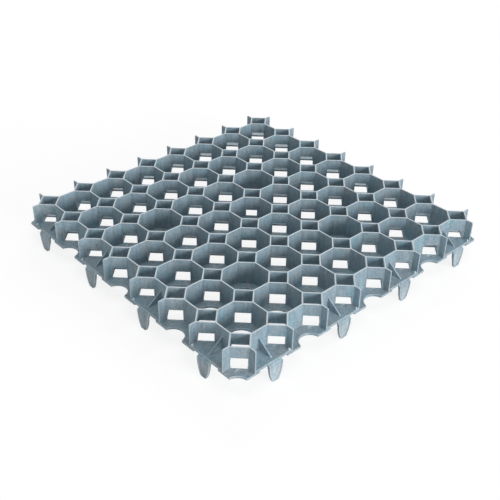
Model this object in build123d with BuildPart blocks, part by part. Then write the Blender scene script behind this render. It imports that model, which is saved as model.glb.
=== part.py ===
from build123d import *
from math import sqrt
import os

# Grass paver grid: one injection-moulded plastic tile, octagon cells with small square cells between.
# x and y in the sketches are measured from the tile's front corner, heights from the floor's underside.
# The part's own frame has +Z up, with the origin under the middle, level with the spikes' tips.

# Grid
pitch = 62.5  # from one octagon's centre to the next
cells = 8  # octagon pitches along each side of the tile
joint_gap = 5.0  # between the edges of two tiles laid side by side
body_height = 38.0  # floor's underside to the rims
wall = 2.0
square_side = 25.2  # small square cells, on the walls' centre lines
floor_thickness = 3.0

# Openings
drain_radius = 19.5  # round hole in each whole octagon's floor
notch_radius = 16.0  # the same in the half octagons along the edges
corner_notch_radius = 17.8  # and in the quarter octagons at the corners
lip_width = 1.5  # raised ring round each of these holes
lip_height = 0.7
window_width = 21.5  # at the foot of each wall between an octagon and a square
window_height = 17.3
small_window_width = 17.0  # the same in the middle octagon, on a low sill
small_window_sill = 1.6
small_window_height = 14.4

# Laps: raised floors on the two near edges lie over the next tile's tongues
lap_clearance = 1.0  # round a tongue
lap_lift = 0.5  # over a tongue
raised_thickness = 3.5
lap_wall = 3.0  # left behind the pocket under a raised floor
pocket_half_width = 23.5
gusset_rise = 18.0  # rib on a raised floor, height on the wall behind it
gusset_run = 22.0
gusset_toe = 1.5  # height of its blunt end
gusset_thickness = 1.8
peg_radius = 1.4  # low peg at the far end of each raised floor
peg_height = 3.0
peg_from_wall = 3.2
peg_from_edge = 1.5
tongue_reach = 24.0  # tongues on the two far edges, out from the floor's edge
lap_corner = 4.0  # of a pocket; a tongue's follows from it

# Spikes, one under each raised floor
spike_length = 24.0  # below the floor's underside
blade_half_top = 11.5
blade_half_tip = 4.9
blade_tip_corner = 2.6
blade_bulge = 1.45  # how far a side bows out of straight
blade_thickness = 2.4
blade_proud = 3.2  # outer face, out from the floor's edge
bead_width = 1.4  # narrow return along the blade's outline
bead_depth = 1.2
stem_depth = 8.0  # rib behind the blade, at the floor
stem_thickness = 2.2
stem_shoulder = 13.0  # how far down it starts to taper quickly
stem_shoulder_depth = 6.3
stem_tip_depth = 2.3
slot_clearance = 1.5  # round a spike in a tongue

# Worked out from these
module = pitch * cells
near_edge = joint_gap / 2
far_edge = module - joint_gap / 2
square_half = square_side / sqrt(2)  # a square's centre to its corner
pocket_height = floor_thickness + lap_lift
pocket_depth = (pitch - wall) / 2 - lap_wall
raised_top = pocket_height + raised_thickness
blade_top = raised_top - blade_proud  # above it the root slopes back to the floor's edge
outline_low = near_edge - blade_proud - bead_depth
outline_high = far_edge + tongue_reach
middle = (outline_low + outline_high) / 2
odd_cells = [i * pitch for i in range(1, cells, 2)]
closed_octagons = [(2, 2), (5, 2), (2, 5), (5, 5)]  # their walls have no windows
middle_octagon = (cells // 2, cells // 2)
octagons = [(i, j) for i in range(cells + 1) for j in range(cells + 1)]
squares = [((i + 0.5) * pitch, (j + 0.5) * pitch) for i in range(cells) for j in range(cells)]


def deck(height):
    """Level plane, with its origin at the tile's front corner."""
    return Plane(origin=(-middle, -middle, spike_length + height))


def upright_across(x):
    """Upright plane across the near edge y = 0, its x along +Y and its y up."""
    return Plane(origin=(x - middle, -middle, spike_length), x_dir=(0, 1, 0), z_dir=(1, 0, 0))


def upright_along(x, y):
    """Upright plane along the near edge, facing out of the tile, its x along +X and its y up."""
    return Plane(origin=(x - middle, y - middle, spike_length), x_dir=(1, 0, 0), z_dir=(0, -1, 0))


def is_lap(i, j):
    """True for the half octagons that carry a raised floor or a tongue."""
    return (i in (0, cells) and j % 2 == 1) or (j in (0, cells) and i % 2 == 1)


def slanting_walls(chosen, step):
    """Middles of the chosen octagons' slanting walls: step 1 for those that rise to the right, else -1."""
    reach = pitch / 2 - square_half / 2
    found = []
    for i, j in chosen:
        for side in (-1, 1):
            x, y = i * pitch + side * reach, j * pitch - side * step * reach
            if 0 < x < module and 0 < y < module:
                found.append((x, y))
    return found


def wall_plan(openings):
    """The network of walls, with openings given as pairs of octagons and window width."""
    rows = [(i + 0.5) * pitch for i in range(cells)]
    with BuildSketch() as plan:
        with Locations(*[(module / 2, y) for y in rows]):
            Rectangle(module - joint_gap, wall)
        with Locations(*[(x, module / 2) for x in rows]):
            Rectangle(wall, module - joint_gap)
        with Locations(*squares):
            Rectangle(square_side + wall, square_side + wall, rotation=45)
        with Locations(*squares):
            Rectangle(square_side - wall, square_side - wall, rotation=45, mode=Mode.SUBTRACT)
        for chosen, width in openings:
            for step in (1, -1):
                with Locations(*slanting_walls(chosen, step)):
                    Rectangle(width, 2 * wall, rotation=45 * step, mode=Mode.SUBTRACT)
    return plan.sketch


def lap_outline(inset, depth):
    """Pocket or tongue: a tab from a tile's edge to this depth, its corners cut along the octagon's walls."""
    half = pocket_half_width - inset
    slant = pitch - square_half - (wall / 2 + lap_wall + inset) * sqrt(2)
    with BuildSketch() as outline:
        with Locations((0, -joint_gap / 2)):
            Rectangle(2 * half, depth + joint_gap / 2, align=(Align.CENTER, Align.MIN))
        Rectangle(slant * sqrt(2), slant * sqrt(2), rotation=45, mode=Mode.INTERSECT)
        corners = outline.vertices().filter_by_position(Axis.Y, 0, 2 * depth)
        fillet(corners, lap_corner - inset)
    return outline.sketch


def blade_outline(inset):
    """Front view of a spike, from its tip up to its root."""
    half_top, half_tip, tip = blade_half_top - inset, blade_half_tip - inset, inset - spike_length
    half_middle = (half_top + half_tip) / 2 + blade_bulge
    with BuildSketch() as outline:
        with BuildLine():
            Polyline((half_top, 0), (half_top, blade_top), (-half_top, blade_top), (-half_top, 0))
            ThreePointArc((-half_top, 0), (-half_middle, tip / 2), (-half_tip, tip))
            Line((-half_tip, tip), (half_tip, tip))
            ThreePointArc((half_tip, tip), (half_middle, tip / 2), (half_top, 0))
        make_face()
        fillet(outline.vertices().group_by(Axis.Y)[0], blade_tip_corner - inset)
    return outline.sketch


with BuildPart() as near_edge_parts:
    # Raised floors: solid lands round a pocket that takes the next tile's tongue
    with BuildSketch(deck(0)):
        with Locations(*[(x, near_edge) for x in odd_cells]):
            Rectangle(pitch + wall, (pitch + wall) / 2 - near_edge, align=(Align.CENTER, Align.MIN))
        with Locations(*squares):
            Rectangle(square_side - wall, square_side - wall, rotation=45, mode=Mode.SUBTRACT)
    extrude(amount=raised_top)
    with BuildSketch(deck(0)):
        with Locations(*[(x, 0) for x in odd_cells]):
            add(lap_outline(0, pocket_depth))
    extrude(amount=pocket_height, mode=Mode.SUBTRACT)

    # Gusset from each raised floor up to the wall behind it
    wall_face = (pitch - wall) / 2
    for x in odd_cells:
        with BuildSketch(upright_across(x)):
            with BuildLine():
                Polyline(
                    (wall_face, raised_top),
                    (wall_face, raised_top + gusset_rise),
                    (wall_face - gusset_run, raised_top + gusset_toe),
                    (wall_face - gusset_run, raised_top),
                    close=True,
                )
            make_face()
        extrude(amount=gusset_thickness / 2, both=True)

    # Pegs beside the far end walls
    peg_side = (pitch - wall) / 2 - peg_from_wall
    with BuildSketch(deck(raised_top)):
        with Locations(*[(x + peg_side, near_edge + peg_from_edge) for x in odd_cells]):
            Circle(peg_radius)
    extrude(amount=peg_height)

    # Spikes: a root on the floor's edge, a blade, a narrow return along its outline, a stem behind
    blade_front = near_edge - blade_proud
    blade_back = blade_front + blade_thickness
    for x in odd_cells:
        with BuildSketch(upright_across(x)):
            with BuildLine():
                Polyline(
                    (near_edge, 0),
                    (near_edge, raised_top),
                    (blade_front, blade_top),
                    (blade_front, 0),
                    close=True,
                )
            make_face()
        extrude(amount=blade_half_top, both=True)
        with BuildSketch(upright_along(x, blade_back)):
            add(blade_outline(0))
        extrude(amount=blade_thickness)
        with BuildSketch(upright_along(x, blade_front)):
            add(blade_outline(0))
            add(blade_outline(bead_width), mode=Mode.SUBTRACT)
        extrude(amount=bead_depth)
        with BuildSketch(upright_across(x)):
            with BuildLine():
                Polyline(
                    (blade_back, pocket_height),
                    (blade_back + stem_depth, pocket_height),
                    (blade_back + stem_depth, 0),
                    (blade_back + stem_shoulder_depth, -stem_shoulder),
                    (blade_back + stem_tip_depth, -spike_length),
                    (blade_back, -spike_length),
                    close=True,
                )
            make_face()
        extrude(amount=stem_thickness / 2, both=True)

with BuildPart() as far_edge_parts:
    # Tongues that lie under the next tile's raised floors, slotted for its spikes
    stem_end = blade_back + stem_depth
    with BuildSketch(deck(0)):
        with Locations(*[(x, module) for x in odd_cells]):
            add(lap_outline(lap_clearance, tongue_reach - joint_gap / 2))
            with Locations((0, blade_front - bead_depth - slot_clearance)):
                Rectangle(
                    2 * (blade_half_top + slot_clearance),
                    blade_thickness + bead_depth + 2 * slot_clearance,
                    align=(Align.CENTER, Align.MIN),
                    mode=Mode.SUBTRACT,
                )
            Rectangle(
                stem_thickness + 2 * slot_clearance,
                stem_end + slot_clearance,
                align=(Align.CENTER, Align.MIN),
                mode=Mode.SUBTRACT,
            )
    extrude(amount=floor_thickness)

with BuildPart() as paver_grid:
    # Floor: open under the squares, a drain hole with a raised lip in each octagon
    drains = [(i * pitch, j * pitch) for i, j in octagons if 0 < i < cells and 0 < j < cells]
    corners = [(x, y) for x in (0, module) for y in (0, module)]
    half_octagons = [(i, j) for i, j in octagons if (i % cells == 0) != (j % cells == 0)]
    notches = [(i * pitch, j * pitch) for i, j in half_octagons if not is_lap(i, j)]
    holes = [(drains, drain_radius), (notches, notch_radius), (corners, corner_notch_radius)]
    with BuildSketch(deck(0)):
        with Locations((module / 2, module / 2)):
            Rectangle(module - joint_gap, module - joint_gap)
        with Locations(*squares):
            Rectangle(square_side - wall, square_side - wall, rotation=45, mode=Mode.SUBTRACT)
        for places, radius in holes:
            with Locations(*places):
                Circle(radius, mode=Mode.SUBTRACT)
        with Locations(*[Location((x, 0, 0)) for x in odd_cells]):
            add(lap_outline(0, pocket_depth), mode=Mode.SUBTRACT)
        with Locations(*[Location((0, y, 0), (0, 0, -90)) for y in odd_cells]):
            add(lap_outline(0, pocket_depth), mode=Mode.SUBTRACT)
    extrude(amount=floor_thickness)
    with BuildSketch(deck(floor_thickness)):
        for places, radius in holes:
            with Locations(*places):
                Circle(radius + lip_width)
                Circle(radius, mode=Mode.SUBTRACT)
        with Locations((module / 2, module / 2)):
            Rectangle(module - joint_gap, module - joint_gap, mode=Mode.INTERSECT)
    extrude(amount=lip_height)

    # Walls, in bands: beside the windows, past both sizes of window, and whole
    open_octagons = [cell for cell in octagons if cell not in closed_octagons + [middle_octagon]]
    tall = (open_octagons, window_width)
    small = ([middle_octagon], small_window_width)
    sill_top = floor_thickness + small_window_sill
    small_top = sill_top + small_window_height
    tall_top = floor_thickness + window_height
    for bottom, top, openings in (
        (floor_thickness, sill_top, [tall]),
        (sill_top, small_top, [tall, small]),
        (small_top, tall_top, [tall]),
        (tall_top, body_height, []),
    ):
        with BuildSketch(deck(bottom)):
            add(wall_plan(openings))
        extrude(amount=top - bottom)

    # Both near edges and both far edges are alike across the diagonal
    diagonal = Plane(origin=(0, 0, 0), z_dir=(1, -1, 0))
    for edge_parts in (near_edge_parts, far_edge_parts):
        add(edge_parts)
        add(mirror(edge_parts.part, about=diagonal, mode=Mode.PRIVATE))

paver_grid.part.label = "paver_grid"
os.makedirs("parts", exist_ok=True)
export_step(paver_grid.part, "parts/paver_grid.step")
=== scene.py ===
from math import radians

import bmesh
import bpy
from mathutils import Matrix, Vector


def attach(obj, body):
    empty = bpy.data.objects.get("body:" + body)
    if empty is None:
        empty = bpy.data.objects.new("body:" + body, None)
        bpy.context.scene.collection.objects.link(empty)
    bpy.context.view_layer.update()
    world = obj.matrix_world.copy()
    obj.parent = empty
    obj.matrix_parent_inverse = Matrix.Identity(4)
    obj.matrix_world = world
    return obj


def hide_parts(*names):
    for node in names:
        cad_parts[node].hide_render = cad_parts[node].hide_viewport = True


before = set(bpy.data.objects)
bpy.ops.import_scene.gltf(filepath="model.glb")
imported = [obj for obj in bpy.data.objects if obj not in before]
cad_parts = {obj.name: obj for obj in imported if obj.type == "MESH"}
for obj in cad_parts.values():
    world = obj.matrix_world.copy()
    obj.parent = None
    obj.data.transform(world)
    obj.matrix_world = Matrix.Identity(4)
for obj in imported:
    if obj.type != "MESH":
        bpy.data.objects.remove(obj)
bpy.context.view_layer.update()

# The tile's own layout in metres, from its front corner; heights from the floor's underside
grid = {
    "middle": 0.2598,  # from the front corner to the frame's origin, in x and in y
    "ground": 0.024,  # spike tips to the floor's underside
    "pitch": 0.0625,
    "cells": 8,
    "floorTop": 0.003,
    "raisedTop": 0.007,
    "pegTop": 0.010,
    "rim": 0.038,
    "jointGap": 0.005,  # between the floors of two tiles
}


def place(x, y, height):
    # a point of the tile, in metres from its front corner, as a point of the frame
    return Vector((x - grid["middle"], y - grid["middle"], height + grid["ground"]))


def level(name):
    # one of the tile's heights as a height of the frame
    return grid[name] + grid["ground"]


def linked(name, data):
    obj = bpy.data.objects.new(name, data)
    bpy.context.collection.objects.link(obj)
    return obj


def meshOf(bm, name):
    mesh = bpy.data.meshes.new(name)
    bm.to_mesh(mesh)
    bm.free()
    return mesh


# Camera, looking over the front corner
lens = {
    "focal": 58.87,
    "sensor": 36.0,
    "shiftX": 0.0248,
    "shiftY": 0.0001,
    "nearest": 0.05,
    "farthest": 50.0,
    "stand": (-0.4784, -0.5265, 0.6773),  # in metres, as place() takes them
    "forward": (0.5562, 0.6152, -0.5587),
    "right": (0.7458, -0.6661, 0.0090),
}


def makeCamera():
    data = bpy.data.cameras.new("camera")
    data.lens = lens["focal"]
    data.sensor_width = lens["sensor"]
    data.shift_x = lens["shiftX"]
    data.shift_y = lens["shiftY"]
    data.clip_start = lens["nearest"]
    data.clip_end = lens["farthest"]
    camera = linked("camera", data)
    forward = Vector(lens["forward"]).normalized()
    right = Vector(lens["right"])
    right = (right - forward * right.dot(forward)).normalized()
    up = right.cross(forward)
    turn = Matrix((right, up, -forward)).transposed().to_4x4()
    camera.matrix_world = Matrix.Translation(place(*lens["stand"])) @ turn
    bpy.context.scene.camera = camera


makeCamera()
print("camera set")


# Shader maths: an expression on Values adds its Math nodes
class Value:
    def __init__(self, board, socket):
        self.board = board
        self.socket = socket

    def maths(self, operation, first, second):
        return self.board.value("ShaderNodeMath", {"operation": operation}, {0: first, 1: second})

    def __add__(self, other):
        return self.maths("ADD", self, other)

    def __radd__(self, other):
        return self.maths("ADD", other, self)

    def __mul__(self, other):
        return self.maths("MULTIPLY", self, other)

    def __rmul__(self, other):
        return self.maths("MULTIPLY", other, self)

    def either(self, other):
        return self.maths("MAXIMUM", self, other)

    def clamped(self):
        return self.board.value("ShaderNodeClamp", {}, {"Value": self})

    def spread(self, low, high):
        # 0 at low, 1 at high and smooth between
        settings = {"interpolation_type": "SMOOTHSTEP"}
        sockets = {"Value": self, "From Min": low, "From Max": high}
        return self.board.value("ShaderNodeMapRange", settings, sockets)


# The nodes of one material, or of the world
class Board:
    def __init__(self, owner):
        owner.use_nodes = True
        self.tree = owner.node_tree
        self.tree.nodes.clear()

    def add(self, kind, settings, sockets):
        node = self.tree.nodes.new(kind)
        for key, value in settings.items():
            setattr(node, key, value)
        for key, value in sockets.items():
            if isinstance(value, Value):
                self.tree.links.new(value.socket, node.inputs[key])
            elif isinstance(value, bpy.types.NodeSocket):
                self.tree.links.new(value, node.inputs[key])
            else:
                node.inputs[key].default_value = value
        return node

    def value(self, kind, settings, sockets, output=0):
        return Value(self, self.add(kind, settings, sockets).outputs[output])

    def noise(self, where, scale, detail):
        sockets = {"Vector": where, "Scale": scale, "Detail": detail}
        return self.value("ShaderNodeTexNoise", {}, sockets)

    def blend(self, share, first, second):
        # share 0 gives the first colour, 1 the second
        node = self.add("ShaderNodeMix", {"data_type": "RGBA"}, {0: share, 6: first, 7: second})
        return node.outputs[2]


# Stage: a wide pale floor; what the camera sees of it is white, and the tile's shadow stays on it
stage = {
    "size": 12.0,
    "below": 0.0002,  # under the spikes' tips
    "matt": (0.85, 0.85, 0.85, 1),
    "white": (1, 1, 1, 1),
    "seen": 0.75,  # share of the white glow in what the camera sees of the floor
    "seenGlow": 1.13,
    "ambient": 0.17,
    "horizon": 0.98,  # the world as the camera sees it, close to the far floor
}
# Soft boxes: watts, compass angle (0 is +X), height angle, distance and size
lamps = {
    "key": {"power": 96.0, "compass": -88.0, "height": 15.0, "distance": 3.5, "wide": 2.2, "tall": 1.3},
    "side": {"power": 15.0, "compass": 180.0, "height": 16.0, "distance": 3.5, "wide": 2.0, "tall": 1.2},
    "top": {"power": 28.0, "compass": -90.0, "height": 84.0, "distance": 3.5, "wide": 2.4, "tall": 2.4},
    "back": {"power": 45.0, "compass": 45.0, "height": 28.0, "distance": 3.5, "wide": 2.2, "tall": 1.4},
}


def floorMaterial():
    material = bpy.data.materials.new("stage_floor")
    board = Board(material)
    ray = board.add("ShaderNodeLightPath", {}, {}).outputs
    matt = board.add("ShaderNodeBsdfDiffuse", {}, {"Color": stage["matt"]})
    glow = board.add("ShaderNodeEmission", {}, {"Color": stage["white"], "Strength": stage["seenGlow"]})
    seen = Value(board, ray["Is Camera Ray"]) * stage["seen"]
    mix = board.add("ShaderNodeMixShader", {}, {0: seen, 1: matt.outputs[0], 2: glow.outputs[0]})
    board.add("ShaderNodeOutputMaterial", {}, {"Surface": mix.outputs[0]})
    return material


def makeFloor():
    bm = bmesh.new()
    bmesh.ops.create_grid(bm, x_segments=1, y_segments=1, size=stage["size"] / 2)
    bmesh.ops.translate(bm, verts=bm.verts, vec=(0, 0, -stage["below"]))
    floor = linked("stage_floor", meshOf(bm, "stage_floor"))
    floor.data.materials.append(floorMaterial())


def makeWorld():
    # plain grey light, and white where the camera, a gloss or a glass sees the world itself
    world = bpy.data.worlds.new("studio")
    bpy.context.scene.world = world
    board = Board(world)
    ray = board.add("ShaderNodeLightPath", {}, {}).outputs
    seen = Value(board, ray["Is Camera Ray"]).either(ray["Is Glossy Ray"])
    seen = seen.either(ray["Is Transmission Ray"])
    plain = board.add("ShaderNodeBackground", {}, {"Color": stage["white"], "Strength": stage["ambient"]})
    pale = board.add("ShaderNodeBackground", {}, {"Color": stage["white"], "Strength": stage["horizon"]})
    mix = board.add("ShaderNodeMixShader", {}, {0: seen, 1: plain.outputs[0], 2: pale.outputs[0]})
    board.add("ShaderNodeOutputWorld", {}, {0: mix.outputs[0]})


def makeLamp(name, power, compass, height, distance, wide, tall):
    data = bpy.data.lights.new(name, "AREA")
    data.energy = power
    data.shape = "RECTANGLE"
    data.size = wide
    data.size_y = tall
    lamp = linked(name, data)
    reach = Matrix.Rotation(radians(compass), 3, "Z") @ Matrix.Rotation(radians(-height), 3, "Y")
    lamp.location = reach @ Vector((distance, 0, 0))
    lamp.rotation_euler = (-lamp.location).to_track_quat("-Z", "Y").to_euler()


makeFloor()
makeWorld()
for name, values in lamps.items():
    makeLamp(name, **values)
bpy.context.scene.view_settings.view_transform = "Standard"
print("stage and", len(lamps), "lamps set")


# The tile's moulded edges and marks, in metres and degrees
moulding = {
    "merge": 1e-6,
    "decimals": 7,  # of a point's place in metres, when the points are sorted
    "shortest": 0.0002,  # edges under this length are joined up before the rounding
    "flatWithin": 1.0,
    "creaseFrom": 25.0,
    "sameHeight": 2e-5,  # places closer than this count as one
    "pegMargin": 1e-5,
    "pegSide": 0.0012,  # longer than any side of a peg's top
    "pegTurn": 60.0,
    "pegFace": 2e-6,  # square metres, larger than any face of a peg
    "edgeRadius": 0.0003,
    "edgeSteps": 2,
    "endRadius": 0.0016,  # top corners of the walls' free ends
    "endSteps": 3,
    "pegRounding": 0.0008,
    "pinPlace": 0.0184,  # an ejector pin's mark, from its cell's centre along x and along y
    "pinRadius": 0.004,
    "pinDepth": 0.0008,
    "pinSides": 28,
    "flatWeight": 100,  # how strongly large faces hold the shading of their edges
}


def pinShapes():
    # short cylinders where the ejector pins leave their marks in the floors
    bm = bmesh.new()
    for i in range(grid["cells"]):
        for j in range(grid["cells"]):
            raised = (i == 0 and j % 2 == 1) or (j == 0 and i % 2 == 1)
            top = grid["raisedTop"] if raised else grid["floorTop"]
            made = bmesh.ops.create_cone(
                bm,
                cap_ends=True,
                cap_tris=False,
                segments=moulding["pinSides"],
                radius1=moulding["pinRadius"],
                radius2=moulding["pinRadius"],
                depth=2 * moulding["pinDepth"],
            )
            x = i * grid["pitch"] + moulding["pinPlace"]
            y = j * grid["pitch"] + moulding["pinPlace"]
            bmesh.ops.translate(bm, verts=made["verts"], vec=place(x, y, top))
    return meshOf(bm, "pin_marks")


def mergedTile():
    # the CAD tile as one closed mesh, with the pin marks cut
    bm = bmesh.new()
    bm.from_mesh(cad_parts["paver_grid"].data)
    bmesh.ops.remove_doubles(bm, verts=bm.verts, dist=moulding["merge"])
    block = linked("merged_tile", meshOf(bm, "merged_tile"))
    pins = linked("pin_marks", pinShapes())
    cutter = block.modifiers.new("pin marks", "BOOLEAN")
    cutter.object = pins
    cutter.operation = "DIFFERENCE"
    cutter.solver = "EXACT"
    depsgraph = bpy.context.evaluated_depsgraph_get()
    cut = bpy.data.meshes.new_from_object(block.evaluated_get(depsgraph))
    for obj in (block, pins):
        bpy.data.objects.remove(obj)
    return cut


def inOrder(mesh):
    # a copy with its points and faces sorted by place, because a boolean's own order varies from run to run
    bm = bmesh.new()
    spots = [tuple(round(c, moulding["decimals"]) for c in vert.co) for vert in mesh.vertices]
    verts = {}
    for n in sorted(range(len(spots)), key=lambda n: spots[n]):
        verts[n] = bm.verts.new(spots[n])
    faces = []
    for polygon in mesh.polygons:
        corners = list(polygon.vertices)
        start = corners.index(min(corners, key=lambda n: spots[n]))
        faces.append(corners[start:] + corners[:start])
    for corners in sorted(faces, key=lambda corners: [spots[n] for n in corners]):
        ring = [verts[n] for n in corners]
        if not bm.faces.get(ring):  # a sliver folded on itself is there once already
            bm.faces.new(ring)
    bm.normal_update()
    return bm


def rounded(bm, edges, radius, steps):
    return bmesh.ops.bevel(
        bm,
        geom=edges,
        offset=radius,
        offset_type="OFFSET",
        affect="EDGES",
        segments=steps,
        profile=0.5,
        material=-1,
        clamp_overlap=False,
    )["faces"]


def near(value, target):
    return abs(value - target) < moulding["sameHeight"]


def wallEndEdges(bm):
    # short rim edges where a wall stops at the tile's edge
    rim = level("rim")
    stops = []
    for side in (grid["jointGap"] / 2, grid["pitch"] * grid["cells"] - grid["jointGap"] / 2):
        stops.append(side - grid["middle"])
    found = []
    for edge in bm.edges:
        first, second = (vert.co for vert in edge.verts)
        if not (near(first.z, rim) and near(second.z, rim)):
            continue
        if any(near(first[n], stop) and near(second[n], stop) for stop in stops for n in (0, 1)):
            found.append(edge)
    return found


def edgesOffPegs(bm):
    low = level("raisedTop") - moulding["pegMargin"]
    high = level("pegTop") + moulding["pegMargin"]
    return [e for e in bm.edges if not all(low < vert.co.z < high for vert in e.verts)]


def pegEdges(bm):
    # the edges round each peg's top
    top = level("pegTop")
    found = []
    for edge in bm.edges:
        atTop = all(near(vert.co.z, top) for vert in edge.verts)
        if not atTop or edge.calc_length() >= moulding["pegSide"]:
            continue
        if len(edge.link_faces) == 2 and edge.calc_face_angle() > radians(moulding["pegTurn"]):
            found.append(edge)
    return found


def onPeg(face, middle):
    low = level("raisedTop") + moulding["pegMargin"]
    high = level("pegTop") + moulding["pegMargin"]
    return low < middle < high and face.calc_area() < moulding["pegFace"]


def gridShape():
    bm = inOrder(mergedTile())
    print("pin marks cut,", len(bm.verts), "points", len(bm.faces), "faces")
    bmesh.ops.remove_doubles(bm, verts=bm.verts, dist=moulding["merge"])
    bmesh.ops.dissolve_degenerate(bm, edges=edgesOffPegs(bm), dist=moulding["shortest"])
    flat = radians(moulding["flatWithin"])
    bmesh.ops.dissolve_limit(bm, angle_limit=flat, verts=bm.verts, edges=bm.edges, delimit=set())
    print("flat faces joined,", len(bm.verts), "points", len(bm.faces), "faces")

    wearAndHighlight = bm.faces.layers.float.new("wearAndHighlight")  # 1 on rounded edges, rims and pegs: scuffed there, and lighter as a painted highlight
    ends = wallEndEdges(bm)
    pegs = pegEdges(bm)
    rounded(bm, ends, moulding["endRadius"], moulding["endSteps"])
    rounded(bm, pegs, moulding["pegRounding"], moulding["endSteps"])
    print("rounded", len(ends), "wall ends and", len(pegs), "peg edges")
    crease = radians(moulding["creaseFrom"])
    convex = [e for e in bm.edges if len(e.link_faces) == 2 and e.calc_face_angle_signed() > crease]
    for face in rounded(bm, convex, moulding["edgeRadius"], moulding["edgeSteps"]):
        face[wearAndHighlight] = 1.0
    # rims and pegs get the scuffed colour too, which is partly a painted highlight
    for face in bm.faces:
        middle = face.calc_center_median().z
        if near(middle, level("rim")) or near(middle, level("pegTop")) or onPeg(face, middle):
            face[wearAndHighlight] = 1.0
    for edge in bm.edges:
        inner = len(edge.link_faces) == 2 and edge.calc_face_angle_signed() < -crease
        edge.smooth = not inner
    openEdges = sum(not e.is_manifold for e in bm.edges)
    triangles = sum(len(f.verts) - 2 for f in bm.faces)
    print("rounded", len(convex), "edges:", triangles, "triangles", openEdges, "open edges")

    piece = linked("grass_grid", meshOf(bm, "grass_grid"))
    for polygon in piece.data.polygons:
        polygon.use_smooth = True
    weighted = piece.modifiers.new("flat faces stay flat", "WEIGHTED_NORMAL")
    weighted.keep_sharp = True
    weighted.weight = moulding["flatWeight"]
    return piece


# The moulded plastic: its colours, then each noise as its scale and detail
plastic = {
    "base": (0.276, 0.370, 0.428, 1),
    "teal": (0.238, 0.362, 0.426, 1),
    "grey": (0.315, 0.382, 0.427, 1),
    "scuffedAndHighlight": (0.66, 0.745, 0.79, 1),  # worn edges, rims and pegs, also lighter as a painted highlight
    "pale": (0.375, 0.45, 0.495, 1),  # painted bounce light from the white floor, towards the spikes' tips
    "bounceLightReach": (0.029, 0.019),  # heights of the frame where it starts and is full
    "patchNoise": (34.0, 4.0),
    "hueNoise": (52.0, 3.0),
    "streakNoise": (190.0, 3.0),
    "streakStretch": (1, 1, 0.22),  # flow marks run up the walls
    "speckNoise": (620.0, 1.0),
    "fleckNoise": (300.0, 2.0),
    "waveNoise": (110.0, 1.0),
    "grainNoise": (1800.0, 2.0),
    "tealReach": (0.5, 0.68),
    "greyReach": (0.5, 0.66),
    "fleckReach": (0.38, 0.62),
}
# Shares of the noises in how light the plastic is, how worn and highlighted, how rough and in its relief
mixing = {
    "lightPatch": 0.46,
    "lightStreak": 0.66,
    "lightSpeck": 0.50,
    "lightFleck": 0.14,
    "lightLeast": 0.12,
    "wornAndHighlightLeast": 0.7,
    "wornAndHighlightHue": 0.3,
    "rough": 0.42,
    "roughPatch": 0.2,
    "roughWorn": 0.05,
    "reliefStrength": 0.35,
    "reliefDepth": 0.001,
    "reliefWave": 0.5,
    "reliefStreak": 0.25,
    "reliefGrain": 0.06,
}


def gridPlastic():
    material = bpy.data.materials.new("grid_plastic_moulded")
    board = Board(material)
    where = board.add("ShaderNodeTexCoord", {}, {}).outputs["Object"]
    tall = board.add("ShaderNodeMapping", {}, {"Vector": where, "Scale": plastic["streakStretch"]})
    patch = board.noise(where, *plastic["patchNoise"])
    hue = board.noise(where, *plastic["hueNoise"])
    streak = board.noise(tall.outputs[0], *plastic["streakNoise"])
    speck = board.noise(where, *plastic["speckNoise"])
    fleck = board.noise(where, *plastic["fleckNoise"]).spread(*plastic["fleckReach"])
    wearAndHighlight = board.value("ShaderNodeAttribute", {"attribute_name": "wearAndHighlight"}, {}, "Fac")
    height = board.value("ShaderNodeSeparateXYZ", {}, {0: where}, 2)

    tinted = board.blend(patch.spread(*plastic["tealReach"]), plastic["base"], plastic["teal"])
    tinted = board.blend(hue.spread(*plastic["greyReach"]), tinted, plastic["grey"])
    # painted bounce light: paler towards the spikes' tips, close to the white floor
    tinted = board.blend(height.spread(*plastic["bounceLightReach"]), tinted, plastic["pale"])
    shade = patch * mixing["lightPatch"] + streak * mixing["lightStreak"] + speck * mixing["lightSpeck"]
    shade = shade + fleck * mixing["lightFleck"] + mixing["lightLeast"]
    toned = board.add("ShaderNodeVectorMath", {"operation": "SCALE"}, {0: tinted, "Scale": shade})
    # worn edges, rims and pegs: scuffing plus a painted highlight
    wornAndHighlight = wearAndHighlight * (mixing["wornAndHighlightLeast"] + hue * mixing["wornAndHighlightHue"])
    colour = board.blend(wornAndHighlight.clamped(), toned.outputs[0], plastic["scuffedAndHighlight"])

    rough = mixing["rough"] + patch * mixing["roughPatch"] + wearAndHighlight * mixing["roughWorn"]
    wave = board.noise(where, *plastic["waveNoise"])
    grain = board.noise(where, *plastic["grainNoise"])
    relief = wave * mixing["reliefWave"] + streak * mixing["reliefStreak"] + grain * mixing["reliefGrain"]
    sockets = {"Strength": mixing["reliefStrength"], "Distance": mixing["reliefDepth"], "Height": relief}
    bump = board.add("ShaderNodeBump", {}, sockets)
    sockets = {"Base Color": colour, "Roughness": rough, "Normal": bump.outputs[0]}
    shader = board.add("ShaderNodeBsdfPrincipled", {}, sockets)
    board.add("ShaderNodeOutputMaterial", {}, {"Surface": shader.outputs[0]})
    return material


tile = gridShape()
tile.data.materials.append(gridPlastic())
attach(tile, "root")
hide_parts("paver_grid")
print("tile made")
